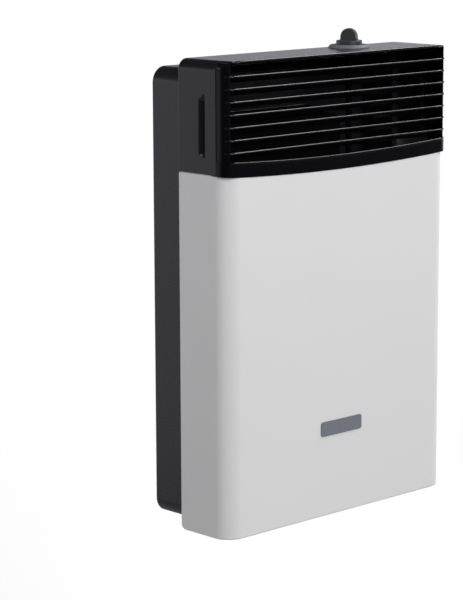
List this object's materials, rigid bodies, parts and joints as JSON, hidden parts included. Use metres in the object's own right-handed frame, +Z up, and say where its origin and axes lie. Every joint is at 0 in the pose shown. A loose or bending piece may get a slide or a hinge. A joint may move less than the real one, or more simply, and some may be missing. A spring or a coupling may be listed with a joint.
{
  "type": "wall mounted gas heater",
  "caption": "Wall-mounted flued gas heater: white sheet-metal front, black louvred warm-air outlet above, dark grey casing against the wall, and a push-and-turn control on top.",
  "frame": {"origin": "Centre of the four wall-screw holes, in the wall plane, which is the rear casing's back face.", "axes": "+X to the right as seen from the room, +Y into the wall, +Z up."},
  "size_m": [0.4066, 0.1924, 0.627],
  "materials": {
    "casing_paint": "dark grey powder coat",
    "hood_paint": "dark grey satin paint",
    "grille_paint": "black semi-gloss paint",
    "panel_enamel": "white satin enamel",
    "badge_metal": "grey brushed plate, left bare",
    "knob_plastic": "dark grey heat-resistant plastic",
    "chamber_enamel": "dark heat-resistant enamel",
    "zinc_steel": "zinc-plated steel",
    "black_oxide": "steel with a black oxide finish",
    "valve_alloy": "die-cast",
    "brass": "turned",
    "copper": "drawn copper tube",
    "seal_fibre": "compressed heat-resistant fibre",
    "ceramic": "glazed ceramic",
    "clear_glass": "heat-resistant glass",
    "igniter_plastic": "black plastic",
    "lead_rubber": "silicone-sheathed high-voltage lead"
  },
  "bodies": {
    "heater": {"rear_casing": "casing_paint", "air_collar": "zinc_steel", "exhaust_collar": "zinc_steel", "air_duct": "zinc_steel", "chamber_rear": "chamber_enamel", "chamber_gasket": "seal_fibre", "chamber_front": "chamber_enamel", "chamber_bolts": "black_oxide", "chamber_standoffs": "zinc_steel", "burner": "zinc_steel", "burner_supports": "zinc_steel", "access_gasket": "seal_fibre", "burner_access_plate": "chamber_enamel", "access_screws": "zinc_steel", "sight_glass": "clear_glass", "sight_glass_ring": "zinc_steel", "injector_holder": "brass", "injector": "brass", "feed_tube": "copper", "pilot_bracket": "zinc_steel", "pilot_burner": "brass", "pilot_tube": "copper", "thermocouple": "copper", "spark_electrode": "ceramic", "ignition_lead": "lead_rubber", "lead_seal": "seal_fibre", "gas_valve": "valve_alloy", "valve_bracket": "zinc_steel", "return_spring": "zinc_steel", "piezo_igniter": "igniter_plastic", "igniter_clip": "zinc_steel", "inlet_tube": "zinc_steel", "inlet_fitting": "brass", "inlet_locknut": "brass", "inlet_bracket": "zinc_steel", "air_deflector": "black_oxide", "hanger_brackets": "zinc_steel", "bottom_brackets": "zinc_steel", "cover_screws": "zinc_steel", "hood": "hood_paint", "cover_joiners": "zinc_steel", "grille_frame": "grille_paint", "louvre_1": "grille_paint", "louvre_2": "grille_paint", "louvre_3": "grille_paint", "louvre_4": "grille_paint", "louvre_5": "grille_paint", "louvre_6": "grille_paint", "louvre_7": "grille_paint", "front_panel": "panel_enamel", "badge_plate": "badge_metal", "knob_bezel": "knob_plastic"},
    "push_carrier": {"push_collar": "zinc_steel", "igniter_plunger": "brass"},
    "knob_assembly": {"knob": "knob_plastic", "control_rod": "black_oxide", "valve_spindle": "brass"}
  },
  "joints": [
    {"name": "spindle_push", "type": "slide", "parent": "heater", "child": "push_carrier", "axis": [0, 0, -1], "range_m": [0, 0.005], "stiffness_N_per_m": 1500, "springref_m": -0.003, "deforming": ["return_spring"]},
    {"name": "knob_turn", "type": "hinge", "parent": "push_carrier", "child": "knob_assembly", "pos_m": [0.0745, -0.086, 0.303], "axis": [0, 0, 1], "range_deg": [0, 210]}
  ]
}
